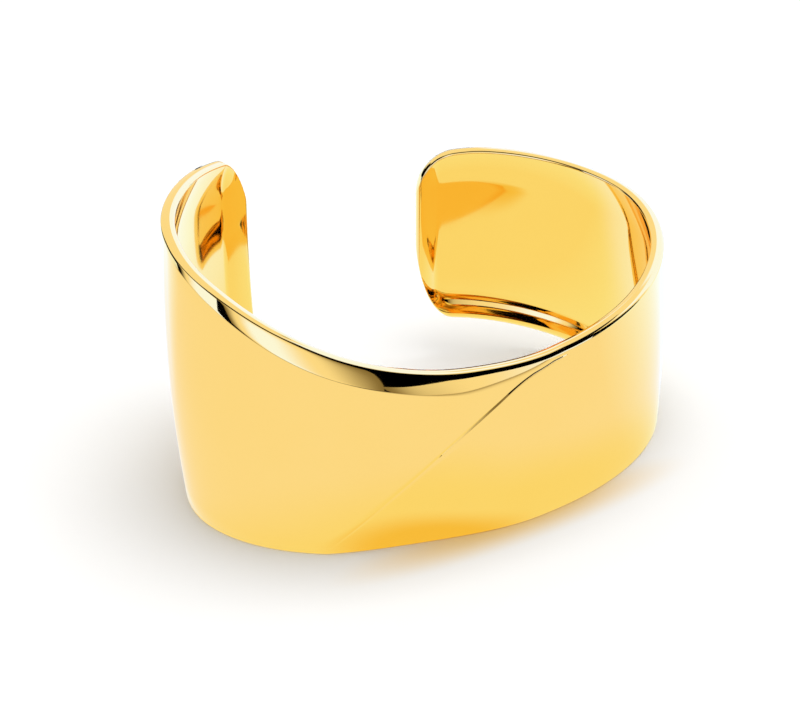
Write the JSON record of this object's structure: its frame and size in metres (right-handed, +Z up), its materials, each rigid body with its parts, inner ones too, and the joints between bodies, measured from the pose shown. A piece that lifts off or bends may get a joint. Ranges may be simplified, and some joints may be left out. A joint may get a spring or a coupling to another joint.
{
  "type": "open cuff bangle",
  "caption": "Wide open cuff bangle of polished yellow gold, taller at one side, with a diagonal fold and a leaf-shaped bevel across the front.",
  "frame": {"origin": "on the surface that the cuff lies on, under the middle of its box", "axes": "+Z up through the wrist hole, +Y from the middle of the front through the opening between the ends, +X towards the lower right end"},
  "size_m": [0.0664, 0.0438, 0.0366],
  "materials": {
    "polished_gold": "mirror polished 18 carat yellow gold"
  },
  "bodies": {
    "root": {"cuff": "polished_gold"}
  },
  "joints": []
}
